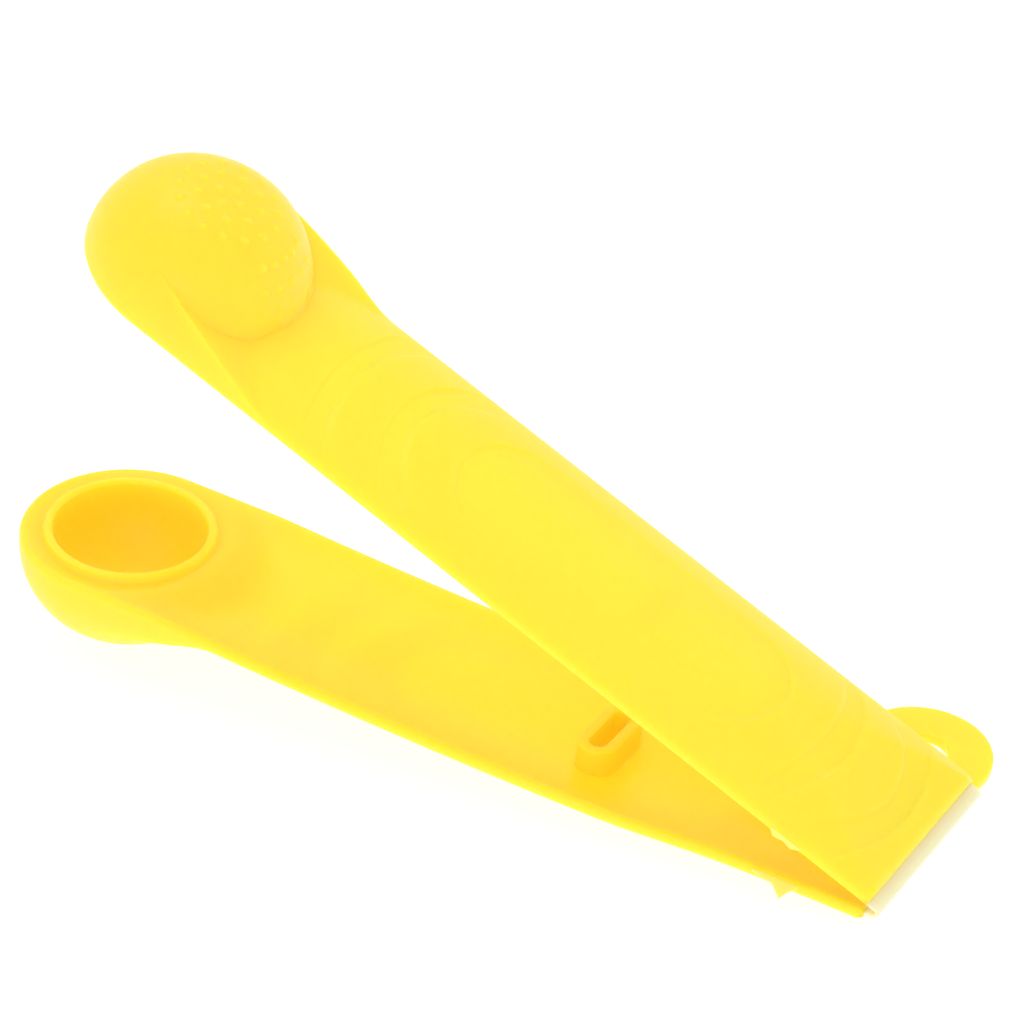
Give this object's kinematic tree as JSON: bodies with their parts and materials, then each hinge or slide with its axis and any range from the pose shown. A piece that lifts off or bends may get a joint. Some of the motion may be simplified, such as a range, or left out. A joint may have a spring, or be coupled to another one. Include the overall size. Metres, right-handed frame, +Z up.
{
  "type": "hinged two-arm plastic tool with cup ends",
  "caption": "Moulded plastic tool of two long channel arms on a thin hinge web, each ending in a round cup; the cups close into a ball and a tongue enters a slotted socket.",
  "frame": {"origin": "under the middle of the tool's box, on the surface that it rests on", "axes": "+X along the tool from the cups to the hinge, +Y across towards the hanging ear, +Z up"},
  "size_m": [0.1094, 0.0374, 0.0602],
  "materials": {
    "yellow_plastic": "satin, slightly translucent",
    "thin_web_plastic": "satin, pale where the plastic is thin"
  },
  "bodies": {
    "lower": {"lower_heel": "yellow_plastic", "lower_arm": "yellow_plastic", "lower_neck": "yellow_plastic", "lower_cup": "yellow_plastic", "cup_lip": "yellow_plastic", "latch_socket": "yellow_plastic", "hanging_ear": "yellow_plastic", "lower_grip_dots": "yellow_plastic", "lower_gate_nib": "yellow_plastic", "hinge_web": "thin_web_plastic"},
    "upper": {"upper_heel": "yellow_plastic", "upper_arm": "yellow_plastic", "upper_neck": "yellow_plastic", "upper_cup": "yellow_plastic", "latch_tongue": "yellow_plastic", "upper_grip_dots": "yellow_plastic", "upper_gate_nib": "yellow_plastic"}
  },
  "joints": [
    {"name": "web_hinge", "type": "hinge", "parent": "lower", "child": "upper", "pos_m": [0.05403, -0.0041, 0.00242], "axis": [0, 1, 0], "range_deg": [-21.4, 158.6], "stiffness_Nm_per_rad": 0.02, "springref_deg": 8.02, "deforming": ["hinge_web"]}
  ]
}
